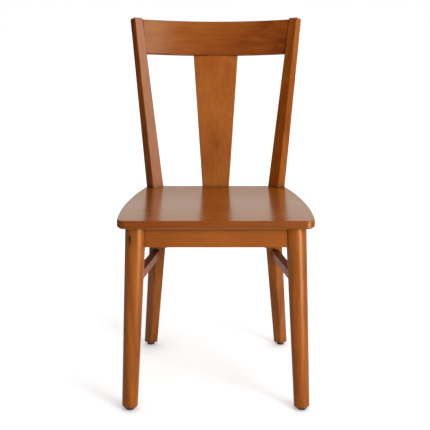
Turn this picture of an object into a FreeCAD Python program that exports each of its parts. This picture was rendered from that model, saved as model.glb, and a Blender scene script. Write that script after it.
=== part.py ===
# Wooden dining chair: round front legs, bent rear posts, curved crest rail, tapered splat, board seat.
# Millimetres. The front faces -Y, +X is to the right, +Z is up, the floor is Z = 0.
# Paired pieces are drawn on the right-hand side and mirrored to the left.
import FreeCAD
import Part
import Sketcher
import math
import os

doc = FreeCAD.newDocument("dining_chair")
sheet = doc.addObject("Spreadsheet::Sheet", "Sizes")

dimensions = {
    # seat board
    "seat_height": 455,
    "seat_thickness": 20,
    "seat_width": 442,
    "seat_depth": 418,
    "seat_front": 273.3,          # origin to the seat's front edge
    "seat_widest_back": 75,       # front edge to the widest line
    "seat_side_radius": 1390,
    "seat_corner_radius": 20,
    "seat_top_chamfer": 1.6,
    "seat_bottom_chamfer": 4.5,
    # front legs, round
    "front_leg_side_inset": 41,   # seat's widest side to the leg's axis, at its top
    "front_leg_front_inset": 40,  # seat's front edge to the leg's axis, at its top
    "front_foot_side_splay": 20,
    "front_foot_front_splay": 10,
    "front_leg_top_diameter": 46.8,
    "front_foot_diameter": 36.4,
    "front_foot_chamfer": 4.5,
    # rear posts, one bent piece each: wide is the face turned inwards, deep the face turned outwards
    "post_top_height": 884,
    "post_side_inset": 62.8,      # seat's widest side to the axis, at the seat's top
    "post_rear_inset": 10.6,      # seat's rear edge to the axis
    "post_rake": 12,
    "post_flare": 6.48,
    "post_turn": 43,
    "post_top_wide": 26.7,
    "post_top_deep": 20.4,
    "post_seat_wide": 36.5,
    "post_seat_deep": 28.5,
    "knee_drop": 70,              # seat's underside to the middle of the bend
    "rear_leg_rake": 12.6,
    "rear_leg_flare": 4.97,
    "rear_leg_wide": 31.2,
    "rear_leg_deep": 32.4,
    "rear_foot_wide": 26.6,
    "rear_foot_deep": 26.6,
    "rear_foot_chamfer": 2.5,
    "post_edge_chamfer": 1.8,
    "post_end_chamfer": 2.4,
    # crest rail
    "crest_height": 89,
    "crest_thickness": 18,
    "crest_radius": 600,
    "crest_drop": 3,              # post tops to the rail's top edge, at its ends
    "crest_setback": 1.6,         # rail's face behind the posts' inner edge
    "crest_edge_chamfer": 2,
    # splat
    "splat_thickness": 10,
    "splat_top_width": 117.5,
    "splat_seat_width": 69.4,
    "splat_setback": 2.9,         # splat's face behind the crest rail's face
    "splat_inset": 13,            # seat's rear edge to the splat's middle
    "splat_top_tenon": 14,
    "splat_seat_tenon": 13,
    "splat_edge_radius": 2,
    # aprons
    "apron_height": 48,
    "apron_thickness": 20,
    "apron_edge_radius": 2.5,
    "apron_tenon_height": 30,
    "apron_tenon_thickness": 8,
    "tenon_length": 16,
    # stretchers
    "stretcher_width": 18.6,
    "stretcher_height": 22,
    "stretcher_edge_radius": 2,
    "stretcher_front_drop": 130,  # seat's underside to the stretcher's middle
    "stretcher_rear_drop": 159,
    "stretcher_tenon_height": 12,
    "stretcher_tenon_width": 9,
    "rear_stretcher_height": 40,
    "rear_stretcher_drop": 106.5,
    "rear_stretcher_arch": 18,
    "rear_stretcher_thickness": 18,
    # corner blocks
    "block_length": 84,
    "block_thickness": 25,
    "block_end": 12,
    "seat_screw_place": 40,       # from the frame's corner, along both aprons
    # fasteners and glides
    "crest_tenon_thickness": 6,
    "crest_tenon_height": 44,
    "crest_tenon_length": 34,
    "crest_tenon_depth": 12,      # in the post
    "screw_diameter": 4,
    "screw_head_diameter": 8,
    "screw_head_height": 2.4,
    "seat_screw_bite": 11,        # in the seat
    "glide_thickness": 5,
    "glide_diameter": 19,
}
for row, (alias, number) in enumerate(dimensions.items(), start=1):
    sheet.set(f"A{row}", alias)
    sheet.set(f"B{row}", str(number))
    sheet.setAlias(f"B{row}", alias)
doc.recompute()

nodes = []


# Small helpers

def value(expression):
    result = sheet.evalExpression(expression)
    return float(getattr(result, "Value", result))


def spot(x, y, z, axis="0; 0; 1", angle="0"):
    return f"placement(vector({x}; {y}; {z}); rotation(vector({axis}); {angle}))"


def add(kind, name, **links):
    thing = doc.addObject(kind, name)
    for link, target in links.items():
        setattr(thing, link, target)
    return thing


def finish(thing, name):
    thing.Label = name
    nodes.append(thing)
    return thing


def mirror(thing, name):
    return add("Part::Mirroring", name, Source=thing, Normal=FreeCAD.Vector(1, 0, 0))


def cut(base, tools, name):
    tool = tools[0]
    if len(tools) > 1:
        tool = add("Part::Compound", name + "_tools", Links=tools)
    return add("Part::Cut", name, Base=base, Tool=tool)


def finish_pair(thing, name):
    finish(thing, name + "_right")
    finish(mirror(thing, name + "_mirror"), name + "_left")


def new_body(name):
    return doc.addObject("PartDesign::Body", name)


def origin_plane(body, role):
    return [plane for plane in body.Origin.OriginFeatures if plane.Role == role][0]


def new_sketch(body, name, role, offset):
    sketch = body.newObject("Sketcher::SketchObject", name)
    sketch.AttachmentSupport = [(origin_plane(body, role), "")]
    sketch.MapMode = "FlatFace"
    sketch.setExpression("AttachmentOffset", offset)
    return sketch


def constrain(sketch, constraints):
    for kind, *places in constraints:
        sketch.addConstraint(Sketcher.Constraint(kind, *places))


def arc_between(centre, radius, start, end):
    # runs anticlockwise
    whole = Part.Circle(centre, FreeCAD.Vector(0, 0, 1), radius)
    return Part.ArcOfCircle(whole, whole.parameter(start), whole.parameter(end))


def size_constraint(sketch, name, expression, kind, *places):
    index = sketch.addConstraint(Sketcher.Constraint(kind, *places, value(expression)))
    sketch.renameConstraint(index, name)
    sketch.setExpression("Constraints." + name, expression)


def rounded_rectangle(sketch, width, depth, radius):
    w, d, r = value(width) / 2, value(depth) / 2, value(radius)
    corners = [(w, -d), (w, d), (-w, d), (-w, -d)]
    sides = [((-w + r, -d), (w - r, -d)), ((w, -d + r), (w, d - r)),
             ((w - r, d), (-w + r, d)), ((-w, d - r), (-w, -d + r))]
    for start, end in sides:
        sketch.addGeometry(Part.LineSegment(FreeCAD.Vector(*start, 0), FreeCAD.Vector(*end, 0)))
    turn = -90
    for x, y in corners:
        middle = FreeCAD.Vector(x - r if x > 0 else x + r, y - r if y > 0 else y + r, 0)
        circle = Part.Circle(middle, FreeCAD.Vector(0, 0, 1), r)
        sketch.addGeometry(Part.ArcOfCircle(circle, math.radians(turn), math.radians(turn + 90)))
        turn += 90
    for side in range(4):
        sketch.addConstraint(Sketcher.Constraint("Tangent", side, 2, side + 4, 1))
        sketch.addConstraint(Sketcher.Constraint("Tangent", side + 4, 2, (side + 1) % 4, 1))
        sketch.addConstraint(Sketcher.Constraint("Vertical" if side % 2 else "Horizontal", side))
    for arc in range(4, 7):
        sketch.addConstraint(Sketcher.Constraint("Equal", arc, arc + 1))
    sketch.addConstraint(Sketcher.Constraint("Symmetric", 0, 1, 2, 1, -1, 1))
    size_constraint(sketch, "width", width, "DistanceX", 3, 1, 1, 1)
    size_constraint(sketch, "depth", depth, "DistanceY", 0, 1, 2, 1)
    size_constraint(sketch, "radius", radius, "Radius", 4)


def polygon(sketch, points):
    places = [FreeCAD.Vector(value(x), value(y), 0) for x, y in points]
    count = len(points)
    for index in range(count):
        sketch.addGeometry(Part.LineSegment(places[index], places[(index + 1) % count]))
    for index, (x, y) in enumerate(points):
        sketch.addConstraint(Sketcher.Constraint("Coincident", index, 2, (index + 1) % count, 1))
        size_constraint(sketch, f"across{index}", x, "DistanceX", -1, 1, index, 1)
        size_constraint(sketch, f"up{index}", y, "DistanceY", -1, 1, index, 1)


def circle(sketch, diameter):
    sketch.addGeometry(Part.Circle(FreeCAD.Vector(), FreeCAD.Vector(0, 0, 1), value(diameter) / 2))
    sketch.addConstraint(Sketcher.Constraint("Coincident", 0, 3, -1, 1))
    size_constraint(sketch, "diameter", diameter, "Diameter", 0)


def loft(body, sketches, ruled, name):
    feature = body.newObject("PartDesign::AdditiveLoft", name)
    feature.Profile = sketches[0]
    feature.Sections = sketches[1:]
    feature.Ruled = ruled
    return feature


def pad(body, sketch, length, name, symmetric=False):
    feature = body.newObject("PartDesign::Pad", name)
    feature.Profile = sketch
    feature.setExpression("Length", length)
    if symmetric:
        feature.SideType = "Symmetric"
    return feature


def revolve(body, sketch, name):
    feature = body.newObject("PartDesign::Revolution", name)
    feature.Profile = sketch
    feature.ReferenceAxis = (sketch, ["V_Axis"])
    return feature


def ease(body, kind, wanted, length, name):
    doc.recompute()
    base = body.Tip
    edges = [f"Edge{index + 1}" for index, edge in enumerate(base.Shape.Edges) if wanted(edge)]
    feature = body.newObject("PartDesign::" + kind, name)
    feature.Base = (base, edges)
    feature.Refine = False
    feature.setExpression("Radius" if kind == "Fillet" else "Size", length)
    return feature


def level(height):
    slack = 1e-4

    def on_level(edge):
        return all(abs(point.z - height) < slack for point in edge.discretize(3))
    return on_level


# Places that several pieces share, as expressions on the sheet

seat_under = "(Sizes.seat_height - Sizes.seat_thickness)"
seat_rear = "(Sizes.seat_depth - Sizes.seat_front)"
apron_middle = f"({seat_under} - Sizes.apron_height / 2)"

leg_run = f"({seat_under} - Sizes.glide_thickness)"
leg_side = "(Sizes.seat_width / 2 - Sizes.front_leg_side_inset)"
leg_front = "(Sizes.front_leg_front_inset - Sizes.seat_front)"


def front_leg(height):
    fall = f"(({seat_under} - {height}) / {leg_run})"
    return (f"({leg_side} + Sizes.front_foot_side_splay * {fall})",
            f"({leg_front} - Sizes.front_foot_front_splay * {fall})")


# The rear post runs straight above the seat's underside and below the bend, with a parabola between
knee_top = seat_under
knee_middle = f"({seat_under} - Sizes.knee_drop)"
knee_bottom = f"({seat_under} - 2 * Sizes.knee_drop)"
post_side = "(Sizes.seat_width / 2 - Sizes.post_side_inset)"
post_back = f"({seat_rear} - Sizes.post_rear_inset)"
knee_rise = f"(Sizes.seat_height - {knee_middle})"
knee_x = f"({post_side} - {knee_rise} * tan(Sizes.post_flare))"
knee_y = f"({post_back} - {knee_rise} * tan(Sizes.post_rake))"


def upper_post(height):
    x = f"({post_side} + ({height} - Sizes.seat_height) * tan(Sizes.post_flare))"
    y = f"({post_back} + ({height} - Sizes.seat_height) * tan(Sizes.post_rake))"
    return x, y


def lower_post(height):
    x = f"({knee_x} + ({knee_middle} - {height}) * tan(Sizes.rear_leg_flare))"
    y = f"({knee_y} + ({knee_middle} - {height}) * tan(Sizes.rear_leg_rake))"
    return x, y


def knee_post(height):
    share = f"(({knee_top} - {height}) / ({knee_top} - {knee_bottom}))"
    start, end = upper_post(knee_top), lower_post(knee_bottom)
    return tuple(f"({a} * (1 - {share})^2 + 2 * {b} * {share} * (1 - {share}) + {c} * {share}^2)"
                 for a, b, c in zip(start, (knee_x, knee_y), end))


def rear_leg(height):
    # on the bend or below it
    return tuple(f"({height} > {knee_bottom} ? {bent} : {straight})"
                 for bent, straight in zip(knee_post(height), lower_post(height)))


def between(first, last, share):
    return f"({first} + ({last} - {first}) * {share})"


def upper_section(height):
    share = f"(({height} - {knee_top}) / (Sizes.post_top_height - {knee_top}))"
    return (between("Sizes.post_seat_wide", "Sizes.post_top_wide", share),
            between("Sizes.post_seat_deep", "Sizes.post_top_deep", share))


def reach(wide, deep):
    # how far the section's corners stand from its axis: to the inner side, and to the front
    inner = f"({wide} / 2 * cos(Sizes.post_turn) + {deep} / 2 * sin(Sizes.post_turn))"
    front = f"({wide} / 2 * sin(Sizes.post_turn) + {deep} / 2 * cos(Sizes.post_turn))"
    return inner, front


# Crest rail's place: its face meets the posts' inner corners at the rail's middle height
crest_middle = ("(Sizes.post_top_height - Sizes.crest_drop"
                " - Sizes.crest_height / 2 * cos(Sizes.post_rake))")
crest_post = upper_post(crest_middle)
crest_wide, crest_deep = upper_section(crest_middle)
corner_x = f"({crest_post[0]} - {reach(crest_wide, crest_deep)[0]})"
corner_y = (f"({crest_post[1]} + {crest_wide} / 2 * sin(Sizes.post_turn)"
            f" - {crest_deep} / 2 * cos(Sizes.post_turn))")
crest_bow = f"(Sizes.crest_radius - sqrt(Sizes.crest_radius^2 - {corner_x}^2))"
crest_y = (f"({corner_y} + Sizes.crest_setback + {crest_bow} * cos(Sizes.post_rake)"
           f" - Sizes.crest_height / 2 * sin(Sizes.post_rake))")
crest_z = (f"({crest_middle} - {crest_bow} * sin(Sizes.post_rake)"
           f" - Sizes.crest_height / 2 * cos(Sizes.post_rake))")


# Front leg: a leaning cone with an eased foot, cut level at both ends

def make_front_leg():
    body = new_body("front_leg_cone")
    foot, top = front_leg("Sizes.glide_thickness"), front_leg(seat_under)
    across, along = f"({top[0]} - {foot[0]})", f"({top[1]} - {foot[1]})"
    length = f"sqrt({across}^2 + {along}^2 + {leg_run}^2)"
    sketch = new_sketch(body, "front_leg_profile", "XZ_Plane", spot("0", "0", "0"))
    foot_radius, top_radius = "Sizes.front_foot_diameter / 2", "Sizes.front_leg_top_diameter / 2"
    extra = "Sizes.front_foot_chamfer"
    polygon(sketch, [("0", f"-{extra}"), (f"{foot_radius} - Sizes.front_foot_chamfer - {extra}", f"-{extra}"),
                     (foot_radius, "Sizes.front_foot_chamfer"), (top_radius, f"{length} + {extra}"),
                     ("0", f"{length} + {extra}")])
    revolve(body, sketch, "front_leg_turn")
    body.setExpression("Placement", spot(*foot, "Sizes.glide_thickness", f"-{along}; {across}; 0",
                                         f"atan2(sqrt({across}^2 + {along}^2); {leg_run})"))
    slab = doc.addObject("Part::Box", "front_leg_slab")
    slab.setExpression("Length", "Sizes.seat_width")
    slab.setExpression("Width", "Sizes.seat_depth")
    slab.setExpression("Height", leg_run)
    slab.setExpression("Placement", spot("0", "-Sizes.seat_front", "Sizes.glide_thickness"))
    return add("Part::Common", "front_leg_blank", Base=body, Tool=slab)


# Rear post: three lofts of one turned rectangle, straight, bent and straight

def post_sketch(body, name, place, height, wide, deep):
    sketch = new_sketch(body, name, "XY_Plane", spot(*place, height, angle="-Sizes.post_turn"))
    u, v, c = f"{wide} / 2", f"{deep} / 2", "Sizes.post_edge_chamfer"
    polygon(sketch, [(f"-({u} - {c})", f"-{v}"), (f"{u} - {c}", f"-{v}"), (u, f"-({v} - {c})"),
                     (u, f"{v} - {c}"), (f"{u} - {c}", v), (f"-({u} - {c})", v),
                     (f"-{u}", f"{v} - {c}"), (f"-{u}", f"-({v} - {c})")])
    return sketch


def make_rear_post():
    body = new_body("rear_post_blank")
    spare = "Sizes.post_top_wide"
    above = f"(Sizes.post_top_height + {spare})"
    top = post_sketch(body, "post_top", upper_post(above), above, *upper_section(above))
    knee = []
    steps = 5
    for step in range(steps + 1):
        share = f"{step / steps}"
        height = between(knee_top, knee_bottom, share)
        wide = between("Sizes.post_seat_wide", "Sizes.rear_leg_wide", share)
        deep = between("Sizes.post_seat_deep", "Sizes.rear_leg_deep", share)
        knee.append(post_sketch(body, f"post_knee_{step}", knee_post(height), height, wide, deep))
    ankle = "(Sizes.glide_thickness + Sizes.rear_foot_chamfer)"
    foot = post_sketch(body, "post_foot", lower_post(ankle), ankle,
                       "Sizes.rear_foot_wide", "Sizes.rear_foot_deep")
    sole = post_sketch(body, "post_sole", lower_post("Sizes.glide_thickness"), "Sizes.glide_thickness",
                       "(Sizes.rear_foot_wide - 2 * Sizes.rear_foot_chamfer)",
                       "(Sizes.rear_foot_deep - 2 * Sizes.rear_foot_chamfer)")
    loft(body, [top, knee[0]], True, "post_upper")
    loft(body, knee, False, "post_bend")
    loft(body, [knee[-1], foot], True, "post_lower")
    loft(body, [foot, sole], True, "post_foot_ease")
    # the top is cut square to the leaning axis
    lean = "atan(sqrt(tan(Sizes.post_flare)^2 + tan(Sizes.post_rake)^2))"
    end = new_sketch(body, "post_end", "XY_Plane",
                     spot(*upper_post("Sizes.post_top_height"), "Sizes.post_top_height",
                          "-tan(Sizes.post_rake); tan(Sizes.post_flare); 0", lean))
    past_spare = f"(2 * {spare})"
    circle(end, f"2 * {past_spare}")
    trim = body.newObject("PartDesign::Pocket", "post_trim")
    trim.Profile = end
    trim.Reversed = True
    trim.setExpression("Length", past_spare)
    below_end = value(f"Sizes.post_top_height - {spare}")

    def end_edge(edge):
        return all(point.z > below_end for point in edge.discretize(3))
    ease(body, "Chamfer", end_edge, "Sizes.post_end_chamfer", "post_crown")
    return body


# A wedge that shares faces with the straight upper post, for the seat's notch and the rail's ends

def post_wedge(name, left, right, front, back):
    # the four sides are shares of the post's section, counted from its axis
    wedge = doc.addObject("Part::Wedge", name)
    low, high = upper_post(knee_top), upper_post("Sizes.post_top_height")
    across, along = f"({high[0]} - {low[0]})", f"({high[1]} - {low[1]})"
    shift_wide = f"({across} * cos(Sizes.post_turn) - {along} * sin(Sizes.post_turn))"
    shift_deep = f"({across} * sin(Sizes.post_turn) + {along} * cos(Sizes.post_turn))"
    sides = {"Xmin": f"{left} * Sizes.post_seat_wide", "Xmax": f"{right} * Sizes.post_seat_wide",
             "Zmin": f"-{back} * Sizes.post_seat_deep", "Zmax": f"-{front} * Sizes.post_seat_deep",
             "X2min": f"{shift_wide} + {left} * Sizes.post_top_wide",
             "X2max": f"{shift_wide} + {right} * Sizes.post_top_wide",
             "Z2min": f"-({shift_deep} + {back} * Sizes.post_top_deep)",
             "Z2max": f"-({shift_deep} + {front} * Sizes.post_top_deep)",
             "Ymin": "0", "Ymax": f"Sizes.post_top_height - {knee_top}"}
    for side, expression in sides.items():
        wedge.setExpression(side, expression)
    wedge.setExpression("Placement", f"placement(vector({low[0]}; {low[1]}; {knee_top});"
                        " rotation(-Sizes.post_turn; 0; 90))")
    return wedge


# Seat board: an outline of lines and arcs, eased, then notched for the posts and slotted for the splat

def make_seat(notches, splat):
    body = new_body("seat_blank")
    sketch = new_sketch(body, "seat_outline", "XY_Plane", spot("0", "0", seat_under))
    bow_x = "(Sizes.seat_width / 2 - Sizes.seat_side_radius)"
    bow_y = "(Sizes.seat_widest_back - Sizes.seat_front)"
    side, corner = value("Sizes.seat_side_radius"), value("Sizes.seat_corner_radius")
    front, rear = -value("Sizes.seat_front"), value(seat_rear)
    centre = FreeCAD.Vector(value(bow_x), value(bow_y), 0)
    turn_y = front + corner
    turn_x = centre.x + ((side - corner) ** 2 - (turn_y - centre.y) ** 2) ** 0.5
    turn = FreeCAD.Vector(turn_x, turn_y, 0)
    meet = turn + (turn - centre).normalize() * corner
    rear_x = centre.x + (side ** 2 - (rear - centre.y) ** 2) ** 0.5

    def flip(point):
        return FreeCAD.Vector(-point.x, point.y, 0)
    tip = FreeCAD.Vector(turn_x, front, 0)
    tail = FreeCAD.Vector(rear_x, rear, 0)
    sketch.addGeometry(Part.LineSegment(flip(tip), tip))
    sketch.addGeometry(arc_between(turn, corner, tip, meet))
    sketch.addGeometry(arc_between(centre, side, meet, tail))
    sketch.addGeometry(Part.LineSegment(tail, flip(tail)))
    sketch.addGeometry(arc_between(flip(centre), side, flip(tail), flip(meet)))
    sketch.addGeometry(arc_between(flip(turn), corner, flip(meet), flip(tip)))
    constrain(sketch, [("Tangent", 0, 2, 1, 1), ("Tangent", 1, 2, 2, 1), ("Coincident", 2, 2, 3, 1),
                       ("Coincident", 3, 2, 4, 1), ("Tangent", 4, 2, 5, 1), ("Tangent", 5, 2, 0, 1),
                       ("Symmetric", 0, 1, 0, 2, -2), ("Symmetric", 3, 1, 3, 2, -2), ("Equal", 1, 5),
                       ("Equal", 2, 4)])
    size_constraint(sketch, "front", "-Sizes.seat_front", "DistanceY", -1, 1, 0, 1)
    size_constraint(sketch, "rear", seat_rear, "DistanceY", -1, 1, 3, 1)
    size_constraint(sketch, "corner", "Sizes.seat_corner_radius", "Radius", 1)
    size_constraint(sketch, "side", "Sizes.seat_side_radius", "Radius", 2)
    size_constraint(sketch, "bow_x", bow_x, "DistanceX", -1, 1, 2, 3)
    size_constraint(sketch, "bow_y", bow_y, "DistanceY", -1, 1, 2, 3)
    pad(body, sketch, "Sizes.seat_thickness", "seat_board_pad")
    ease(body, "Chamfer", level(value("Sizes.seat_height")), "Sizes.seat_top_chamfer", "seat_top_edge")
    ease(body, "Chamfer", level(value(seat_under)), "Sizes.seat_bottom_chamfer", "seat_bottom_edge")
    return cut(body, notches + [splat], "seat_notched")


# Crest rail: an arc padded along the back's rake, trimmed to the posts

def make_crest(trims, splat):
    body = new_body("crest_blank")
    place = spot("0", crest_y, crest_z, "1; 0; 0", "-Sizes.post_rake")
    sketch = new_sketch(body, "crest_arc", "XY_Plane", place)
    face = value("Sizes.crest_radius")
    back = value("Sizes.crest_radius + Sizes.crest_thickness")
    half = value(crest_post[0])
    centre = FreeCAD.Vector(0, -face, 0)
    ends = []
    for radius in (face, back):
        sag = (radius ** 2 - half ** 2) ** 0.5 - face
        right, left = FreeCAD.Vector(half, sag, 0), FreeCAD.Vector(-half, sag, 0)
        sketch.addGeometry(arc_between(centre, radius, right, left))
        ends.append((right, left))
    for front_end, back_end in zip(*ends):
        sketch.addGeometry(Part.LineSegment(front_end, back_end))
    constrain(sketch, [("Coincident", 2, 1, 0, 1), ("Coincident", 2, 2, 1, 1), ("Coincident", 3, 1, 0, 2),
                       ("Coincident", 3, 2, 1, 2), ("Coincident", 0, 3, 1, 3), ("PointOnObject", 0, 3, -2),
                       ("Vertical", 2), ("Vertical", 3), ("Symmetric", 0, 1, 0, 2, -2)])
    size_constraint(sketch, "centre", "-Sizes.crest_radius", "DistanceY", -1, 1, 0, 3)
    size_constraint(sketch, "face", "Sizes.crest_radius", "Radius", 0)
    size_constraint(sketch, "back", "Sizes.crest_radius + Sizes.crest_thickness", "Radius", 1)
    size_constraint(sketch, "half", crest_post[0], "DistanceX", -1, 1, 0, 1)
    pad(body, sketch, "Sizes.crest_height", "crest_rise")
    ease(body, "Chamfer", lambda edge: edge.Length > half, "Sizes.crest_edge_chamfer", "crest_edges")
    return cut(body, trims + [splat], "crest_trimmed")


# Splat: a tapered board let into the seat and the crest rail

def make_splat():
    body = new_body("splat_board")
    seat_y = f"({seat_rear} - Sizes.splat_inset)"
    top_y = f"({crest_y} + Sizes.splat_setback + Sizes.splat_thickness / 2)"
    lean = f"atan2({top_y} - {seat_y}; {crest_z} - Sizes.seat_height)"
    length = f"sqrt(({top_y} - {seat_y})^2 + ({crest_z} - Sizes.seat_height)^2)"
    growth = f"(Sizes.splat_top_width - Sizes.splat_seat_width) / {length} / 2"
    low = f"(Sizes.splat_seat_width / 2 - {growth} * Sizes.splat_seat_tenon)"
    high = f"(Sizes.splat_top_width / 2 + {growth} * Sizes.splat_top_tenon)"
    head = f"({length} + Sizes.splat_top_tenon)"
    sketch = new_sketch(body, "splat_outline", "XZ_Plane",
                        spot("0", "Sizes.seat_height", f"-{seat_y}", "1; 0; 0", f"-{lean}"))
    polygon(sketch, [(f"-{low}", "-Sizes.splat_seat_tenon"), (low, "-Sizes.splat_seat_tenon"),
                     (high, head), (f"-{high}", head)])
    pad(body, sketch, "Sizes.splat_thickness", "splat_pad", symmetric=True)
    shortest = value(length)
    ease(body, "Fillet", lambda edge: edge.Length > shortest, "Sizes.splat_edge_radius", "splat_edges")
    return body


# Rails: a bar coped to the legs, with a core that runs on into them as tenons

def bar_section(sketch, width, height, radius):
    if radius:
        rounded_rectangle(sketch, width, height, radius)
    else:
        polygon(sketch, [(f"-{width} / 2", f"-{height} / 2"), (f"{width} / 2", f"-{height} / 2"),
                         (f"{width} / 2", f"{height} / 2"), (f"-{width} / 2", f"{height} / 2")])


def bar_across(name, y, z, half_length, thickness, height, radius=None):
    body = new_body(name)
    sketch = new_sketch(body, name + "_section", "YZ_Plane", spot(y, z, "0"))
    bar_section(sketch, thickness, height, radius)
    pad(body, sketch, f"2 * {half_length}", name + "_pad", symmetric=True)
    return body


def bar_along(name, front, rear, trims, width, height, radius=None):
    # front and rear are points on two axes, and trims says how far from each of them the bar stops
    body = new_body(name)
    run = [f"({rear[i]} - {front[i]})" for i in range(3)]
    level_run = f"sqrt({run[0]}^2 + {run[1]}^2)"
    length = f"sqrt({run[0]}^2 + {run[1]}^2 + {run[2]}^2)"
    sketch = new_sketch(body, name + "_section", "XZ_Plane", spot("0", "0", f"-{trims[0]}"))
    bar_section(sketch, width, height, radius)
    feature = pad(body, sketch, f"{length} - {trims[0]} - {trims[1]}", name + "_pad")
    feature.Reversed = True
    turn = f"rotation(-atan2({run[0]}; {run[1]}); 0; atan2({run[2]}; {level_run}))"
    body.setExpression("Placement", f"placement(vector({front[0]}; {front[1]}; {front[2]}); {turn})")
    return body


def coped(bar, legs, core, name):
    return add("Part::Fuse", name, Base=cut(bar, legs, name + "_coped"), Tool=core)


leg = make_front_leg()
leg_other = mirror(leg, "front_leg_blank_other")
post = make_rear_post()
post_other = mirror(post, "rear_post_blank_other")

apron_leg = front_leg(apron_middle)
apron_leg_radius = "(Sizes.front_leg_top_diameter / 2)"
apron_post = rear_leg(apron_middle)
apron_reach = reach("Sizes.post_seat_wide", "Sizes.post_seat_deep")

# Front apron
front_apron_bar = bar_across("front_apron_bar", apron_leg[1], apron_middle, apron_leg[0],
                             "Sizes.apron_thickness", "Sizes.apron_height", "Sizes.apron_edge_radius")
front_apron_core = bar_across("front_apron_core", apron_leg[1], apron_middle,
                              f"({apron_leg[0]} - {apron_leg_radius} + Sizes.tenon_length)",
                              "Sizes.apron_tenon_thickness", "Sizes.apron_tenon_height")
front_apron = coped(front_apron_bar, [leg, leg_other], front_apron_core, "front_apron_joined")

# Rear apron
rear_apron_bar = bar_across("rear_apron_bar", apron_post[1], apron_middle, apron_post[0],
                            "Sizes.apron_thickness", "Sizes.apron_height", "Sizes.apron_edge_radius")
rear_apron_core = bar_across("rear_apron_core", apron_post[1], apron_middle,
                             f"({apron_post[0]} - {apron_reach[0]} + Sizes.tenon_length)",
                             "Sizes.apron_tenon_thickness", "Sizes.apron_tenon_height")
rear_apron = coped(rear_apron_bar, [post, post_other], rear_apron_core, "rear_apron_joined")

# Side apron
side_ends = (*apron_leg, apron_middle), (*apron_post, apron_middle)
side_apron_bar = bar_along("side_apron_bar", *side_ends, ("0", "0"),
                           "Sizes.apron_thickness", "Sizes.apron_height", "Sizes.apron_edge_radius")
side_apron_core = bar_along("side_apron_core", *side_ends,
                            (f"({apron_leg_radius} - Sizes.tenon_length)",
                             f"({apron_reach[1]} - Sizes.tenon_length)"),
                            "Sizes.apron_tenon_thickness", "Sizes.apron_tenon_height")
side_apron = coped(side_apron_bar, [leg, post, rear_apron], side_apron_core, "side_apron_joined")

# Side stretcher
stretcher_front = f"({seat_under} - Sizes.stretcher_front_drop)"
stretcher_rear = f"({seat_under} - Sizes.stretcher_rear_drop)"
stretcher_leg = front_leg(stretcher_front)
stretcher_share = f"(Sizes.stretcher_front_drop / {leg_run})"
stretcher_leg_wide = between("Sizes.front_leg_top_diameter", "Sizes.front_foot_diameter", stretcher_share)
stretcher_leg_radius = f"({stretcher_leg_wide} / 2)"
stretcher_post = rear_leg(stretcher_rear)
stretcher_reach = reach("Sizes.rear_leg_wide", "Sizes.rear_leg_deep")
stretcher_ends = (*stretcher_leg, stretcher_front), (*stretcher_post, stretcher_rear)
stretcher_bar = bar_along("stretcher_bar", *stretcher_ends, ("0", "0"),
                          "Sizes.stretcher_width", "Sizes.stretcher_height", "Sizes.stretcher_edge_radius")
stretcher_core = bar_along("stretcher_core", *stretcher_ends,
                           (f"({stretcher_leg_radius} - Sizes.tenon_length)",
                            f"({stretcher_reach[1]} - Sizes.tenon_length)"),
                           "Sizes.stretcher_tenon_width", "Sizes.stretcher_tenon_height")
stretcher = coped(stretcher_bar, [leg, post], stretcher_core, "side_stretcher_joined")


# Rear stretcher: a board with an arched lower edge

def make_rear_stretcher_board(post_place, middle):
    body = new_body("rear_stretcher_board")
    place = spot("0", middle, f"-{post_place[1]}")
    sketch = new_sketch(body, "rear_stretcher_outline", "XZ_Plane", place)
    arch_radius = (f"({post_place[0]}^2 + Sizes.rear_stretcher_arch^2) / (2 * Sizes.rear_stretcher_arch)")
    half = value(post_place[0])
    tall = value("Sizes.rear_stretcher_height") / 2
    radius = value(arch_radius)
    crown = value("Sizes.rear_stretcher_arch") - tall
    low_right, high_right = FreeCAD.Vector(half, -tall, 0), FreeCAD.Vector(half, tall, 0)
    low_left, high_left = FreeCAD.Vector(-half, -tall, 0), FreeCAD.Vector(-half, tall, 0)
    for start, end in ((low_right, high_right), (high_right, high_left), (high_left, low_left)):
        sketch.addGeometry(Part.LineSegment(start, end))
    sketch.addGeometry(arc_between(FreeCAD.Vector(0, crown - radius, 0), radius, low_right, low_left))
    constrain(sketch, [("Coincident", 0, 2, 1, 1), ("Coincident", 1, 2, 2, 1), ("Vertical", 0),
                       ("Vertical", 2), ("Horizontal", 1), ("Symmetric", 0, 1, 1, 2, -1, 1),
                       ("Coincident", 3, 1, 0, 1), ("Coincident", 3, 2, 2, 2)])
    size_constraint(sketch, "half", post_place[0], "DistanceX", -1, 1, 0, 1)
    size_constraint(sketch, "tall", "Sizes.rear_stretcher_height", "DistanceY", 0, 1, 0, 2)
    size_constraint(sketch, "arch", arch_radius, "Radius", 3)
    pad(body, sketch, "Sizes.rear_stretcher_thickness", "rear_stretcher_pad", symmetric=True)
    return body


back_top = f"({seat_under} - Sizes.rear_stretcher_drop)"
back_middle = f"({back_top} - Sizes.rear_stretcher_height / 2)"
back_post = rear_leg(back_middle)
back_board = make_rear_stretcher_board(back_post, back_middle)
back_tenon_middle = f"({back_top} - (Sizes.rear_stretcher_height - Sizes.rear_stretcher_arch) / 2)"
back_core = bar_across("rear_stretcher_core", back_post[1], back_tenon_middle,
                       f"({back_post[0]} - {stretcher_reach[0]} + Sizes.tenon_length)",
                       "Sizes.stretcher_tenon_width", "Sizes.stretcher_tenon_height")
rear_stretcher = coped(back_board, [post, post_other], back_core, "rear_stretcher_joined")


# Corner blocks: prisms in the frame's corners, cut to the aprons and the leg

block_bottom = f"({seat_under} - Sizes.block_thickness)"


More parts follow.
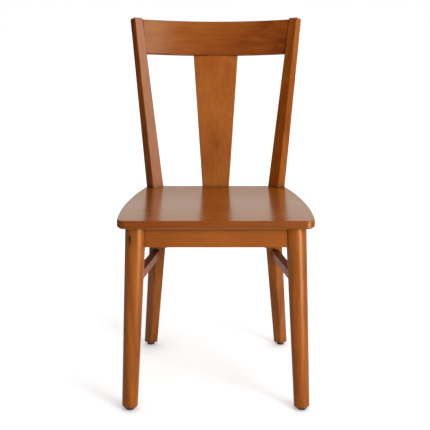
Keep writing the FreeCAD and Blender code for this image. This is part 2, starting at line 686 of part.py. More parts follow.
def make_block(name, corner, along, across, neighbours):
    # along and across are steps from the corner on the two aprons' middle planes
    body = new_body(name)
    sketch = new_sketch(body, name + "_outline", "XY_Plane", spot("0", "0", block_bottom))
    far = "Sizes.block_length"
    blunt = "(Sizes.apron_thickness / 2 + Sizes.block_end)"
    steps = [("0", "0"), (far, "0"), (far, blunt), (blunt, far), ("0", far)]
    points = []
    for first, second in steps:
        points.append(tuple(f"({corner[i]} + {first} * {along[i]} + {second} * {across[i]})" for i in (0, 1)))
    polygon(sketch, points)
    pad(body, sketch, "Sizes.block_thickness", name + "_pad")
    return cut(body, neighbours, name + "_fitted")


side_run = f"sqrt(({apron_post[0]} - {apron_leg[0]})^2 + ({apron_post[1]} - {apron_leg[1]})^2)"
side_step = tuple(f"(({apron_post[i]} - {apron_leg[i]}) / {side_run})" for i in (0, 1))
back_step = (f"(-{side_step[0]})", f"(-{side_step[1]})")
inward_step = ("(-1)", "0")
front_block = make_block("front_block", apron_leg, inward_step, side_step, [front_apron, side_apron, leg])
rear_block = make_block("rear_block", apron_post, inward_step, back_step, [rear_apron, side_apron, post])


# Seat screws, crest tenons and glides

def make_seat_screw(name, corner, across):
    # a flat head under the block, and a shank that runs up into the seat
    body = new_body(name)
    sketch = new_sketch(body, name + "_profile", "XZ_Plane", spot("0", "0", "0"))
    shank = "Sizes.screw_diameter / 2"
    rim = "Sizes.screw_head_diameter / 2"
    length = "Sizes.block_thickness + Sizes.seat_screw_bite"
    polygon(sketch, [("0", "-Sizes.screw_head_height"), (rim, "-Sizes.screw_head_height"), (rim, "0"),
                     (shank, "0"), (shank, length), ("0", length)])
    revolve(body, sketch, name + "_turn")
    place = [f"({corner[i]} + Sizes.seat_screw_place * ({inward_step[i]} + {across[i]}))" for i in (0, 1)]
    body.setExpression("Placement", spot(*place, block_bottom))
    return body


def make_crest_tenon():
    # a loose tenon through the middle of the post's inner face, running along the rail's curve
    body = new_body("crest_tenon")
    x = f"({crest_post[0]} - {crest_wide} / 2 * cos(Sizes.post_turn))"
    y = f"({crest_post[1]} + {crest_wide} / 2 * sin(Sizes.post_turn))"
    sketch = new_sketch(body, "crest_tenon_outline", "XY_Plane",
                        spot(x, y, crest_middle, "1; 0; 0", "-Sizes.post_rake"))
    slope = f"asin({corner_x} / Sizes.crest_radius)"
    out, back = "Sizes.crest_tenon_depth", "(Sizes.crest_tenon_depth - Sizes.crest_tenon_length)"
    half = "(Sizes.crest_tenon_thickness / 2)"
    corners = [(out, f"-{half}"), (out, half), (back, half), (back, f"-{half}")]
    polygon(sketch, [(f"{along} * cos({slope}) + {across} * sin({slope})",
                      f"{across} * cos({slope}) - {along} * sin({slope})") for along, across in corners])
    pad(body, sketch, "Sizes.crest_tenon_height", "crest_tenon_pad", symmetric=True)
    return body


def make_glide(name, place):
    glide = doc.addObject("Part::Cylinder", name)
    glide.setExpression("Radius", "Sizes.glide_diameter / 2")
    glide.setExpression("Height", "Sizes.glide_thickness")
    glide.setExpression("Placement", spot(*place, "0"))
    return glide


def with_mirror(things):
    return things + [mirror(thing, thing.Name + "_other") for thing in things]


right_seat_screws = [make_seat_screw("seat_screw_front", apron_leg, side_step),
                     make_seat_screw("seat_screw_rear", apron_post, back_step)]
crest_tenon = make_crest_tenon()
seat_screws = with_mirror(right_seat_screws)
crest_tenons = with_mirror([crest_tenon])

# The pieces themselves, with their mortises, slots and holes
splat = make_splat()
face, clear = "0.5", "3"      # the post's face, and well outside the post
notches = with_mirror([post_wedge("notch", f"(-{face})", face, f"(-{face})", clear)])
trims = with_mirror([post_wedge("trim", f"(-{face})", clear, f"(-{clear})", clear)])
seat = make_seat(notches, splat)
crest = make_crest(trims, splat)
leg_mortises = [front_apron_core, side_apron_core, stretcher_core]
post_mortises = [rear_apron_core, side_apron_core, stretcher_core, back_core, crest_tenon]

finish(cut(seat, seat_screws, "seat_drilled"), "seat_board")
finish_pair(cut(leg, leg_mortises, "front_leg_cut"), "front_leg")
finish_pair(cut(post, post_mortises, "rear_post_cut"), "rear_post")
finish(cut(crest, crest_tenons, "crest_mortised"), "crest_rail")
finish(splat, "back_splat")
finish(front_apron, "front_apron")
finish(rear_apron, "rear_apron")
finish_pair(side_apron, "side_apron")
finish_pair(stretcher, "side_stretcher")
finish(rear_stretcher, "rear_stretcher")
for end, block, screw in zip(("front", "rear"), (front_block, rear_block), right_seat_screws):
    finish_pair(cut(block, [screw], f"{end}_block_drilled"), f"corner_block_{end}")
glides = with_mirror([make_glide("glide_front", front_leg("Sizes.glide_thickness")),
                      make_glide("glide_rear", lower_post("Sizes.glide_thickness"))])
finish(add("Part::Compound", "glide_group", Links=glides), "glides")
finish(add("Part::Compound", "crest_tenon_group", Links=crest_tenons), "crest_tenons")
finish(add("Part::Compound", "seat_screw_group", Links=seat_screws), "seat_screws")

# Every object is sound before anything is written

doc.recompute()
for thing in doc.Objects:
    if {"Invalid", "Error"} & set(thing.State):
        raise RuntimeError(f"{thing.Label} failed: {thing.State}")
for node in nodes:
    if node.Shape.isNull() or not node.Shape.isValid():
        raise RuntimeError(f"{node.Label} has no valid shape")

os.makedirs("parts", exist_ok=True)
for node in nodes:
    node.Shape.exportStep(f"parts/{node.Label}.step")
    print(node.Label, "solids", len(node.Shape.Solids), "volume", round(node.Shape.Volume))
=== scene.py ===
import bpy
import bmesh
import math
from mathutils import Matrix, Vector

# stained wooden dining chair, metres, front towards -Y
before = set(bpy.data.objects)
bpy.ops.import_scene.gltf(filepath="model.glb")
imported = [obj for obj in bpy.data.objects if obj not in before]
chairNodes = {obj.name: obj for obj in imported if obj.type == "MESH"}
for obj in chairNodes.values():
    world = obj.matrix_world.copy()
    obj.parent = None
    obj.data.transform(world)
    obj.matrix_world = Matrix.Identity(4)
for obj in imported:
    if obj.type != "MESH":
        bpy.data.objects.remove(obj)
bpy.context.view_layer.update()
print("frame loaded,", len(chairNodes), "pieces")

scene = bpy.context.scene
scene.view_settings.view_transform = "Standard"

noiseLow = 0.3            # most of a noise lies between low and high
noiseMiddle = 0.5
noiseHigh = 0.7
coatRoughness = 0.18      # of the polish on the wood


# small node helpers
def startMaterial(name):
    material = bpy.data.materials.new(name)
    material.use_nodes = True
    tree = material.node_tree
    tree.nodes.clear()
    return material, tree


def addNode(tree, kind, **settings):
    node = tree.nodes.new(kind)
    for setting, value in settings.items():
        setattr(node, setting, value)
    return node


def plug(tree, socket, value):
    # a socket from another node is linked, anything else is typed in
    if isinstance(value, bpy.types.NodeSocket):
        tree.links.new(value, socket)
    else:
        socket.default_value = value


def objectPlace(tree):
    return addNode(tree, "ShaderNodeTexCoord").outputs["Object"]


def split(tree, vector):
    node = addNode(tree, "ShaderNodeSeparateXYZ")
    plug(tree, node.inputs[0], vector)
    return node.outputs


def maths(tree, operation, first, second=0.0):
    node = addNode(tree, "ShaderNodeMath", operation=operation)
    plug(tree, node.inputs[0], first)
    plug(tree, node.inputs[1], second)
    return node.outputs[0]


def add(tree, first, second):
    return maths(tree, "ADD", first, second)


def times(tree, first, second):
    return maths(tree, "MULTIPLY", first, second)


def stretch(tree, vector, amounts):
    node = addNode(tree, "ShaderNodeVectorMath", operation="MULTIPLY")
    plug(tree, node.inputs[0], vector)
    plug(tree, node.inputs[1], amounts)
    return node.outputs[0]


def lengthOf(tree, vector):
    node = addNode(tree, "ShaderNodeVectorMath", operation="LENGTH")
    plug(tree, node.inputs[0], vector)
    return node.outputs["Value"]


def noise(tree, vector, layer):
    # size is how often it repeats in a metre, each way
    node = addNode(tree, "ShaderNodeTexNoise")
    plug(tree, node.inputs["Vector"], stretch(tree, vector, layer["size"]))
    node.inputs["Scale"].default_value = 1.0
    node.inputs["Detail"].default_value = layer["detail"]
    node.inputs["Roughness"].default_value = layer.get("roughness", 0.5)
    node.inputs["Distortion"].default_value = layer.get("twist", 0.0)
    return node.outputs["Fac"]


def remap(tree, value, low, high, start, end):
    node = addNode(tree, "ShaderNodeMapRange", clamp=True)
    plug(tree, node.inputs["Value"], value)
    node.inputs["From Min"].default_value = low
    node.inputs["From Max"].default_value = high
    plug(tree, node.inputs["To Min"], start)
    plug(tree, node.inputs["To Max"], end)
    return node.outputs["Result"]


def fade(tree, value, band):
    # start up to one edge of the band, end past the other
    return remap(tree, value, band["from"], band["to"], band["start"], band["end"])


def between(tree, share, start, end):
    return remap(tree, share, 0.0, 1.0, start, end)


def openness(tree, reach, samples):
    # 1 in the open, less where something stands within reach
    node = addNode(tree, "ShaderNodeAmbientOcclusion", samples=samples)
    node.inputs["Distance"].default_value = reach
    return node.outputs["AO"]


def ramp(tree, value, stops):
    node = addNode(tree, "ShaderNodeValToRGB")
    plug(tree, node.inputs["Fac"], value)
    elements = node.color_ramp.elements
    while len(elements) < len(stops):
        elements.new(0.5)
    for element, (place, colour) in zip(elements, stops):
        element.position = place
        element.color = (*colour, 1.0)
    return node.outputs["Color"]


def blendColour(tree, share, first, second, kind="MIX"):
    # inputs 6 and 7 and output 2 are the node's colour sockets
    node = addNode(tree, "ShaderNodeMix", data_type="RGBA", blend_type=kind)
    plug(tree, node.inputs[0], share)
    for socket, colour in ((node.inputs[6], first), (node.inputs[7], second)):
        plug(tree, socket, colour if isinstance(colour, bpy.types.NodeSocket) else (*colour, 1.0))
    return node.outputs[2]


def finishMaterial(tree, look, colour, roughness, height, coat=0.0):
    shader = addNode(tree, "ShaderNodeBsdfPrincipled")
    plug(tree, shader.inputs["Base Color"], colour)
    plug(tree, shader.inputs["Roughness"], roughness)
    plug(tree, shader.inputs["Coat Weight"], coat)
    shader.inputs["Coat Roughness"].default_value = coatRoughness
    shader.inputs["Specular IOR Level"].default_value = look["specular"]
    shader.inputs["Specular Tint"].default_value = (*look.get("lacquer", (1.0, 1.0, 1.0)), 1.0)
    shader.inputs["Metallic"].default_value = look.get("metallic", 0.0)
    bump = addNode(tree, "ShaderNodeBump")
    bump.inputs["Strength"].default_value = look["bumpStrength"]
    bump.inputs["Distance"].default_value = look["bumpDistance"]
    plug(tree, bump.inputs["Height"], height)
    plug(tree, shader.inputs["Normal"], bump.outputs["Normal"])
    output = addNode(tree, "ShaderNodeOutputMaterial")
    plug(tree, output.inputs["Surface"], shader.outputs["BSDF"])


# edges: the solids are cut square or chamfered, a hand-sanded chair is not
sanding = {"weld": 0.00001, "flatWithin": 0.6, "sharpOver": 28, "steps": 3, "evenness": 60}


def easeEdges(node, width):
    weld = node.modifiers.new("joinedFacets", "WELD")
    weld.merge_threshold = sanding["weld"]
    flat = node.modifiers.new("wholeFaces", "DECIMATE")
    flat.decimate_type = "DISSOLVE"
    flat.angle_limit = math.radians(sanding["flatWithin"])
    sanded = node.modifiers.new("sandedEdges", "BEVEL")
    sanded.limit_method = "ANGLE"
    sanded.angle_limit = math.radians(sanding["sharpOver"])
    sanded.width = width
    sanded.segments = sanding["steps"]
    sanded.material = 1     # the edges take the second material
    smooth = node.modifiers.new("evenShading", "WEIGHTED_NORMAL")
    smooth.weight = sanding["evenness"]
    for face in node.data.polygons:
        face.use_smooth = True


def dress(nodeName, surface, edgeSurface, edgeWidth):
    node = chairNodes[nodeName]
    node.data.materials.clear()
    node.data.materials.append(surface)
    node.data.materials.append(edgeSurface)
    easeEdges(node, edgeWidth)


# the stain: a honey brown over a fine, even hardwood; a piece's own values come before these
stain = {
    "colours": [                      # from dark to pale: place on the scale, colour
        (0.09, (0.186, 0.034, 0.0034)),
        (0.38, (0.332, 0.074, 0.0072)),
        (0.69, (0.455, 0.122, 0.0140)),
        (0.95, (0.540, 0.165, 0.0230)),
    ],
    "contrast": 0.75,
    "cloud": 1.0,                     # how strong the layers of the grain are
    "streaks": 1.0,
    "fibre": 1.0,
    "lean": (0, 0, 0),                # turns the grain along a leaning piece, in radians
    "pore": (0.62, 0.50, 0.42),       # what a pore leaves of the colour
    "pores": {"size": (85.0, 1300.0, 1300.0), "detail": 1.0,
              "from": 0.60, "to": 0.74, "start": 0.0, "end": 0.45},
    "knots": [],
    "roughness": 0.235,
    "smoother": 0.02,                 # how far the streaks move the roughness, down and up
    "rougher": 0.025,
    "edgeSmoother": 0.2,              # how much smoother the paler edges are
    "specular": 0.45,
    "lacquer": (1.0, 0.82, 0.38),     # amber tint of the shine
    "bumpStrength": 0.05,
    "bumpDistance": 0.0003,
    "rightFacing": {"from": -0.2, "to": 0.2, "start": 0.0, "end": 1.0},
    "levelFacing": {"from": 0.3, "to": 0.8, "start": 0.0, "end": 1.0},
}

# the grain: size goes along it and across, weight is how far a layer moves the shade, scaledBy a value above
grainLayers = {
    "figure": {"size": (1.3, 14.0, 14.0), "detail": 3.0, "roughness": 0.55, "twist": 0.2,
               "weight": 0.70, "scaledBy": "cloud"},
    "mottle": {"size": (9.0, 13.0, 13.0), "detail": 2.0,
               "weight": 0.55, "scaledBy": "cloud"},
    "rings": {"size": (1.4, 42.0, 42.0), "detail": 2.0, "roughness": 0.45, "twist": 0.3,
              "weight": 0.45, "scaledBy": "streaks"},
    "streaks": {"size": (3.0, 120.0, 120.0), "detail": 3.0, "roughness": 0.55, "twist": 0.2,
                "weight": 0.52, "scaledBy": "streaks"},
    "fibre": {"size": (16.0, 300.0, 300.0), "detail": 1.0,
              "weight": 0.14, "scaledBy": "fibre"},
}
grainTurn = {"x": (0, 0, 0), "y": (0, 0, math.pi / 2), "z": (0, math.pi / 2, 0)}
grainShift = (1.7, 0.9, 2.3)     # times a piece's seed

# painted shade where two pieces meet: a soft painted shadow in the corner, then a dark painted shade line in
# the seam itself
cornerShadeSamples = 6
paintedCornerShade = [
    {"colour": (0.060, 0.013, 0.003), "reach": 0.016, "from": 0.30, "to": 0.92, "start": 0.90, "end": 0.0},
    {"colour": (0.018, 0.005, 0.002), "reach": 0.0055, "from": 0.45, "to": 0.86, "start": 0.95, "end": 0.0},
]

# the ragged rim of a knot
knotRim = {"size": (900.0, 900.0, 350.0), "detail": 2.0, "share": 0.7, "inner": 0.9, "outer": 1.6}


def alongGrain(tree, place, look):
    turned = addNode(tree, "ShaderNodeMapping")
    plug(tree, turned.inputs["Vector"], place)
    turned.inputs["Rotation"].default_value = [
        turn + lean for turn, lean in zip(grainTurn[look["grain"]], look["lean"])]
    turned.inputs["Location"].default_value = [look["seed"] * step for step in grainShift]
    return turned.outputs["Vector"]


def darkKnot(tree, place, colour, knot):
    # a small bark inclusion: an oval spot in the wood
    shift = addNode(tree, "ShaderNodeVectorMath", operation="SUBTRACT")
    plug(tree, shift.inputs[0], place)
    plug(tree, shift.inputs[1], knot["centre"])
    oval = stretch(tree, shift.outputs[0], [1.0 / size for size in knot["size"]])
    ragged = times(tree, noise(tree, place, knotRim), knotRim["share"])
    reach = add(tree, lengthOf(tree, oval), ragged)
    spot = remap(tree, reach, knotRim["inner"], knotRim["outer"], knot["strength"], 0.0)
    return blendColour(tree, spot, colour, knot["colour"])


# painted shade: the colour darkens where another piece stands close
def paintCornerShade(tree, colour):
    for corner in paintedCornerShade:
        clear = openness(tree, corner["reach"], cornerShadeSamples)
        colour = blendColour(tree, fade(tree, clear, corner), colour, corner["colour"])
    return colour


def stainedWood(name, piece, edgeHighlight=0.0):
    look = {**stain, **piece}
    material, tree = startMaterial(name)
    place = objectPlace(tree)
    along = alongGrain(tree, place, look)
    apart = split(tree, place)
    faces = split(tree, addNode(tree, "ShaderNodeNewGeometry").outputs["Normal"])

    # how pale the wood is: the piece's tone, with each layer of the grain swinging about its middle
    weights = [layer["weight"] * look[layer["scaledBy"]] for layer in grainLayers.values()]
    grain = {layerName: noise(tree, along, layer) for layerName, layer in grainLayers.items()}
    # the sanded edges are paler by a painted highlight
    shade = look["tone"] + edgeHighlight - noiseMiddle * sum(weights)
    for layerNoise, weight in zip(grain.values(), weights):
        shade = add(tree, shade, times(tree, layerNoise, weight))
    smoothest = look["roughness"] - look["smoother"] - look["edgeSmoother"] * edgeHighlight
    roughest = look["roughness"] + look["rougher"]
    roughness = remap(tree, grain["streaks"], noiseLow, noiseHigh, smoothest, roughest)

    coat = 0.0
    if "paintedLeftShade" in look:
        # painted shade: the faces to the left are darker, and only the others are polished, above the seat
        right = fade(tree, faces["X"], look["rightFacing"])
        shade = add(tree, shade, between(tree, right, look["paintedLeftShade"], 0.0))
        coat = times(tree, right, fade(tree, apart["Z"], look["upperCoat"]))
    if "paintedSideTone" in look:
        # painted light and shade: the upright faces are given another tone than the level ones, and their
        # polish differs too
        level = fade(tree, maths(tree, "ABSOLUTE", faces["Z"]), look["levelFacing"])
        shade = add(tree, shade, between(tree, level, look["paintedSideTone"] - look["tone"], 0.0))
        roughness = add(tree, roughness, between(tree, level, look["sideRoughness"], 0.0))
        levelCoat = 0.0
        if "seatCoat" in look:
            # polished by use, most in a band across the seat
            worn = look["seatCoat"]
            fromBand = maths(tree, "ABSOLUTE", maths(tree, "SUBTRACT", apart["Y"], worn["middle"]))
            levelCoat = fade(tree, fromBand, worn)
        coat = between(tree, level, look["sideCoat"], levelCoat)
    if "paintedShadeEnd" in look:
        # painted shade: one end is darker
        shade = add(tree, shade, fade(tree, apart[look["paintedShadeEnd"]["along"]], look["paintedShadeEnd"]))

    colour = ramp(tree, times(tree, shade, look["contrast"]), look["colours"])
    pores = fade(tree, noise(tree, along, look["pores"]), look["pores"])
    colour = blendColour(tree, pores, colour, look["pore"], "MULTIPLY")
    for knot in look["knots"]:
        colour = darkKnot(tree, place, colour, knot)
    # painted shade in the corners and seams
    colour = paintCornerShade(tree, colour)
    finishMaterial(tree, look, colour, roughness, grain["fibre"], coat)
    return material


def dressWood(nodeName, piece):
    surface = stainedWood(nodeName + "_wood", piece)
    highlightedEdge = stainedWood(nodeName + "_edge", piece, edgeHighlight=piece["edgeHighlight"])
    dress(nodeName, surface, highlightedEdge, piece["edge"])


# in each piece, tone is how pale it is, the painted highlight how much paler its edges are, and edge how wide
# they are sanded
# seat: grain from side to side
seatBoard = {
    "grain": "x", "seed": 1.3, "tone": 0.70, "streaks": 0.8, "cloud": 0.5, "roughness": 0.20,
    # painted shade: the seat's sides are darker than its top
    "paintedSideTone": 0.38, "sideRoughness": 0.20, "sideCoat": 0.0,
    "seatCoat": {"middle": -0.09, "from": 0.03, "to": 0.19, "start": 0.42, "end": 0.10},
    "edgeHighlight": 0.08, "edge": 0.0016,
}
dressWood("seat_board", seatBoard)

# front legs, turned round; the left one has a bark knot under the seat
frontLegLeft = {
    "grain": "z", "seed": 2.1, "tone": 0.77, "streaks": 2.3, "roughness": 0.36, "lean": (0.03, 0.04, 0),
    "edgeHighlight": 0.08, "edge": 0.0012,
    "knots": [
        {"centre": (-0.1920, -0.2552, 0.4085), "size": (0.0036, 0.0080, 0.0125),
         "colour": (0.120, 0.024, 0.004), "strength": 0.7},
        {"centre": (-0.1921, -0.2552, 0.4105), "size": (0.0026, 0.0070, 0.0072),
         "colour": (0.022, 0.006, 0.003), "strength": 0.92},
        {"centre": (-0.1915, -0.2556, 0.4015), "size": (0.0018, 0.0050, 0.0105),
         "colour": (0.050, 0.012, 0.004), "strength": 0.85},
    ],
}
frontLegRight = {
    "grain": "z", "seed": 3.7, "tone": 0.68, "streaks": 2.3, "roughness": 0.36, "lean": (0.03, -0.04, 0),
    "edgeHighlight": 0.08, "edge": 0.0012,
}
dressWood("front_leg_left", frontLegLeft)
dressWood("front_leg_right", frontLegRight)

# rear posts, each sawn to its bend out of one plank, with painted shade from under the seat up
rearPostLeft = {
    "grain": "z", "seed": 4.4, "tone": 0.82, "streaks": 1.5, "lean": (0, 0.05, 0),
    # painted shade on the faces turned to the left
    "paintedLeftShade": -0.11,
    "upperCoat": {"from": 0.42, "to": 0.48, "start": 0.0, "end": 0.8},
    "paintedShadeEnd": {"along": "Z", "from": 0.17, "to": 0.27, "start": 0.0, "end": -0.22},
    "edgeHighlight": 0.08, "edge": 0.0012,
}
rearPostRight = {
    "grain": "z", "seed": 5.9, "tone": 0.80, "streaks": 1.5, "lean": (0, -0.05, 0), "specular": 0.5,
    "paintedShadeEnd": {"along": "Z", "from": 0.20, "to": 0.30, "start": 0.0, "end": -0.14},
    "edgeHighlight": 0.08, "edge": 0.0012,
}
dressWood("rear_post_left", rearPostLeft)
dressWood("rear_post_right", rearPostRight)

# crest rail, with painted shade darkening it to the right, and splat
crestRail = {
    "grain": "x", "seed": 6.7, "tone": 0.57, "streaks": 1.3, "specular": 0.8, "lacquer": (1.0, 0.86, 0.56),
    "paintedShadeEnd": {"along": "X", "from": 0.05, "to": 0.17, "start": 0.0, "end": -0.31},
    "edgeHighlight": 0.06, "edge": 0.0014,
}
backSplat = {
    "grain": "z", "seed": 7.5, "tone": 0.89, "streaks": 1.3, "lean": (0, 0.02, 0), "specular": 0.8,
    "lacquer": (1.0, 0.9, 0.7),
    "edgeHighlight": 0.06, "edge": 0.0010,
}
dressWood("crest_rail", crestRail)
dressWood("back_splat", backSplat)

# aprons under the seat
frontApron = {"grain": "x", "seed": 8.8, "tone": 0.65, "streaks": 1.4, "edgeHighlight": 0.06, "edge": 0.0010}
rearApron = {"grain": "x", "seed": 9.1, "tone": 0.50, "edgeHighlight": 0.06, "edge": 0.0010}
sideApronLeft = {"grain": "y", "seed": 10.6, "tone": 0.50, "edgeHighlight": 0.06, "edge": 0.0010}
sideApronRight = {**sideApronLeft, "seed": 11.9}
dressWood("front_apron", frontApron)
dressWood("rear_apron", rearApron)
dressWood("side_apron_left", sideApronLeft)
dressWood("side_apron_right", sideApronRight)

# stretchers; the side ones are dark on top with painted shade, and polished on their upright faces
sideStretcherLeft = {
    "grain": "y", "seed": 12.4, "tone": 0.10, "roughness": 0.60, "specular": 0.06,
    # painted light and shade: dark tops, pale upright faces
    "paintedSideTone": 0.90, "sideRoughness": 0.0, "sideCoat": 0.45,
    "edgeHighlight": 0.08, "edge": 0.0010,
}
# painted light: the right one's upright faces are paler still
sideStretcherRight = {**sideStretcherLeft, "seed": 14.2, "paintedSideTone": 1.15}
rearStretcher = {"grain": "x", "seed": 13.7, "tone": 0.50, "edgeHighlight": 0.08, "edge": 0.0012}
dressWood("side_stretcher_left", sideStretcherLeft)
dressWood("side_stretcher_right", sideStretcherRight)
dressWood("rear_stretcher", rearStretcher)
print("stained wood on the frame, the seat and the back")

# unstained wood: corner blocks and the loose tenons of the crest rail
plainWood = {
    "early": (0.50, 0.33, 0.17),
    "late": (0.62, 0.44, 0.25),
    "figure": {"size": (8.0, 60.0, 60.0), "detail": 4.0, "roughness": 0.6, "twist": 0.4},
    "sawMarks": {"size": (260.0, 12.0, 12.0), "detail": 2.0},
    "sawDepth": 0.6,
    "grainShift": (1.0, 0.6, 1.4),
    "firstSeed": 1.0,
    "seedStep": 0.37,
    "smoothest": 0.56,
    "roughest": 0.72,
    "specular": 0.3,
    "bumpStrength": 0.35,
    "bumpDistance": 0.0006,
    "edge": 0.0010,
}
plainPieces = ["corner_block_front_left", "corner_block_front_right",
               "corner_block_rear_left", "corner_block_rear_right", "crest_tenons"]


def sawnWood(name, seed):
    material, tree = startMaterial(name)
    shifted = addNode(tree, "ShaderNodeMapping")
    plug(tree, shifted.inputs["Vector"], objectPlace(tree))
    shifted.inputs["Location"].default_value = [seed * step for step in plainWood["grainShift"]]
    along = shifted.outputs["Vector"]
    figure = noise(tree, along, plainWood["figure"])
    sawMarks = noise(tree, along, plainWood["sawMarks"])
    colour = ramp(tree, figure, [(noiseLow, plainWood["early"]), (noiseHigh, plainWood["late"])])
    roughness = remap(tree, sawMarks, noiseLow, noiseHigh, plainWood["smoothest"], plainWood["roughest"])
    height = add(tree, times(tree, sawMarks, plainWood["sawDepth"]), figure)
    finishMaterial(tree, plainWood, colour, roughness, height)
    return material


for number, nodeName in enumerate(plainPieces):
    surface = sawnWood(nodeName + "_wood", plainWood["firstSeed"] + plainWood["seedStep"] * number)
    dress(nodeName, surface, surface, plainWood["edge"])
print("plain wood on the corner blocks and tenons")

# glides under the feet
glide = {
    "colour": (0.030, 0.024, 0.020),
    "scuff": (0.085, 0.072, 0.060),
    "scuffs": {"size": (60.0, 240.0, 120.0), "detail": 4.0, "roughness": 0.7,
               "from": 0.5, "to": 0.75, "start": 0.0, "end": 1.0},
    "grains": {"size": (900.0, 900.0, 900.0), "detail": 3.0, "roughness": 0.6},
    "smoothest": 0.5,
    "roughest": 0.75,
    "specular": 0.2,
    "bumpStrength": 0.3,
    "bumpDistance": 0.0003,
    "edge": 0.0008,
}


def mouldedPlastic(name):
    material, tree = startMaterial(name)
    place = objectPlace(tree)
    grains = noise(tree, place, glide["grains"])
    scuffs = fade(tree, noise(tree, place, glide["scuffs"]), glide["scuffs"])
    colour = blendColour(tree, scuffs, glide["colour"], glide["scuff"])
    roughness = between(tree, scuffs, glide["smoothest"], glide["roughest"])
    finishMaterial(tree, glide, colour, roughness, grains)
    return material


# screws up through the corner blocks
steelScrew = {
    "dull": (0.35, (0.33, 0.33, 0.33)),       # place on the scale of tarnish, colour
    "bright": (0.6, (0.56, 0.56, 0.55)),
    "tarnish": {"size": (90.0, 90.0, 90.0), "detail": 3.0, "roughness": 0.6},
    "brush": {"size": (1800.0, 300.0, 300.0), "detail": 3.0, "roughness": 0.6},
    "smoothest": 0.26,
    "roughest": 0.46,
    "specular": 0.5,
    "metallic": 1.0,
    "bumpStrength": 0.15,
    "bumpDistance": 0.0001,
    "edge": 0.0003,
}


def brushedSteel(name):
    material, tree = startMaterial(name)
    place = objectPlace(tree)
    brush = noise(tree, place, steelScrew["brush"])
    tarnish = noise(tree, place, steelScrew["tarnish"])
    colour = ramp(tree, tarnish, [steelScrew["dull"], steelScrew["bright"]])
    roughness = remap(tree, brush, noiseLow, noiseHigh, steelScrew["smoothest"], steelScrew["roughest"])
    finishMaterial(tree, steelScrew, colour, roughness, brush)
    return material


plastic = mouldedPlastic("glides_finish")
steel = brushedSteel("seat_screws_finish")
dress("glides", plastic, plastic, glide["edge"])
dress("seat_screws", steel, steel, steelScrew["edge"])
print("glides and screws finished")

# floor: pale, goes to white for the camera and keeps the shadow
floorLook = {
    "size": 30.0,
    "squares": 4,
    "colour": (0.93, 0.93, 0.93),
    "paler": (0.95, 0.95, 0.95),
    "cloud": {"size": (1.5, 1.5, 1.5), "detail": 2.0},
    "lift": {"from": 0.5, "to": 1.6, "start": 0.615, "end": 1.0},        # more of it away from the chair
    "footShade": {"from": 0.5, "to": 1.0, "start": 0.44, "end": 1.0},    # painted shade: less of it close under the feet
    "footReach": 0.08,
    "footSamples": 8,
}


def layFloor():
    mesh = bpy.data.meshes.new("floor")
    shape = bmesh.new()
    squares = floorLook["squares"]
    bmesh.ops.create_grid(shape, x_segments=squares, y_segments=squares, size=floorLook["size"])
    shape.to_mesh(mesh)
    shape.free()
    floor = bpy.data.objects.new("floor", mesh)
    scene.collection.objects.link(floor)

    material, tree = startMaterial("pale_floor")
    place = objectPlace(tree)
    diffuse = addNode(tree, "ShaderNodeBsdfDiffuse")
    cloud = noise(tree, place, floorLook["cloud"])
    colour = ramp(tree, cloud, [(noiseLow, floorLook["colour"]), (noiseHigh, floorLook["paler"])])
    plug(tree, diffuse.inputs["Color"], colour)
    lift = fade(tree, lengthOf(tree, place), floorLook["lift"])
    # painted shade under the feet: the lift is smaller where they stand close
    clear = openness(tree, floorLook["footReach"], floorLook["footSamples"])
    lift = times(tree, lift, fade(tree, clear, floorLook["footShade"]))
    rays = addNode(tree, "ShaderNodeLightPath")
    white = addNode(tree, "ShaderNodeEmission")
    plug(tree, white.inputs["Strength"], times(tree, rays.outputs["Is Camera Ray"], lift))
    both = addNode(tree, "ShaderNodeAddShader")
    plug(tree, both.inputs[0], diffuse.outputs[0])
    plug(tree, both.inputs[1], white.outputs[0])
    plug(tree, addNode(tree, "ShaderNodeOutputMaterial").inputs["Surface"], both.outputs[0])
    mesh.materials.append(material)


layFloor()

# surround: a white wall behind and a dim room in front; the bands go by direction, -1 to 1
surround = {
    "light": {"from": 0.1, "to": 0.9, "start": 0.06, "end": 1.0},           # from the room round to the wall
    "leftLight": {"from": -0.9, "to": 0.3, "start": 0.45, "end": 1.0},      # less of it from the left
    "shine": {"from": 0.2, "to": 0.6, "start": 0.08, "end": 1.0},           # what the polish sees of them
    "footShine": {"from": 0.178, "to": 0.206, "start": 0.42, "end": 1.0},   # less at the foot of the wall
    "leftShine": {"from": -0.95, "to": -0.4, "start": 0.12, "end": 1.0},    # and at the left
    "plainColour": (1.0, 1.0, 1.0),
    "shineColour": (1.0, 0.93, 0.83),                                       # a warm wall paint
}


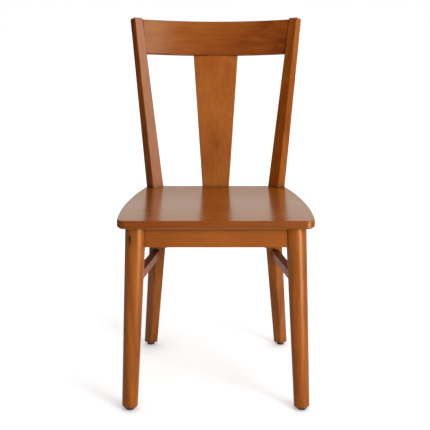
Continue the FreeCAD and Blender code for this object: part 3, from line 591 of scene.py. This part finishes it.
def paintSurround():
    world = bpy.data.worlds.new("studio")
    scene.world = world
    world.use_nodes = True
    tree = world.node_tree
    tree.nodes.clear()
    rays = addNode(tree, "ShaderNodeLightPath").outputs
    facing = split(tree, addNode(tree, "ShaderNodeTexCoord").outputs["Generated"])
    light = fade(tree, facing["Y"], surround["light"])
    light = times(tree, light, fade(tree, facing["X"], surround["leftLight"]))
    shine = fade(tree, facing["Y"], surround["shine"])
    shine = times(tree, shine, fade(tree, facing["Z"], surround["footShine"]))
    shine = times(tree, shine, fade(tree, facing["X"], surround["leftShine"]))
    given = between(tree, rays["Is Glossy Ray"], light, shine)
    seen = maths(tree, "MAXIMUM", rays["Is Camera Ray"], rays["Is Transmission Ray"])
    colour = blendColour(tree, rays["Is Glossy Ray"], surround["plainColour"], surround["shineColour"])
    background = addNode(tree, "ShaderNodeBackground")
    plug(tree, background.inputs["Color"], colour)
    plug(tree, background.inputs["Strength"], maths(tree, "MAXIMUM", given, seen))
    plug(tree, addNode(tree, "ShaderNodeOutputWorld").inputs["Surface"], background.outputs[0])


paintSurround()

# the soft boxes shed light, the panels are only seen in the polish; turn and rise in degrees from the front
aimHeight = 0.45
softBoxes = {
    "key_soft_box": {"turn": 38, "rise": 15, "away": 3.2, "size": 1.1, "power": 54.0, "sheds": True},
    "front_soft_box": {"turn": 15, "rise": 20, "away": 3.2, "size": 3.0, "power": 18.0, "sheds": True},
    "top_soft_box": {"turn": 40, "rise": 72, "away": 2.6, "size": 1.6, "power": 16.0, "sheds": True},
    "side_panel": {"turn": 84, "rise": 27, "away": 2.6, "size": 1.6, "power": 17.0, "sheds": False},
    "crest_panel": {"turn": 35, "rise": 27, "away": 2.6, "size": 1.0, "power": 8.0, "sheds": False},
    "low_panel": {"turn": 40, "rise": -8, "away": 1.45, "size": 0.50, "power": 13.0, "sheds": False},
}


def hangSoftBox(name, box):
    lamp = bpy.data.lights.new(name, "AREA")
    lamp.size = box["size"]
    lamp.energy = box["power"]
    softBox = bpy.data.objects.new(name, lamp)
    scene.collection.objects.link(softBox)
    turn = math.radians(box["turn"])
    rise = math.radians(box["rise"])
    towards = Vector((math.sin(turn) * math.cos(rise), -math.cos(turn) * math.cos(rise), math.sin(rise)))
    softBox.location = Vector((0, 0, aimHeight)) + towards * box["away"]
    softBox.rotation_euler = towards.to_track_quat("Z", "Y").to_euler()
    softBox.visible_camera = False
    softBox.visible_diffuse = box["sheds"]
    softBox.visible_glossy = not box["sheds"]


for boxName, box in softBoxes.items():
    hangSoftBox(boxName, box)

# camera at the photograph's place
view = {"place": (-0.0019, -2.3378, 0.9248), "tiltDown": 12.459, "lens": 80.64, "sensor": 36.0}
camera = bpy.data.objects.new("camera", bpy.data.cameras.new("camera"))
scene.collection.objects.link(camera)
camera.location = view["place"]
camera.rotation_euler = (math.radians(90 - view["tiltDown"]), 0, 0)
camera.data.lens = view["lens"]
camera.data.sensor_width = view["sensor"]
scene.camera = camera
print("floor, light and camera set")
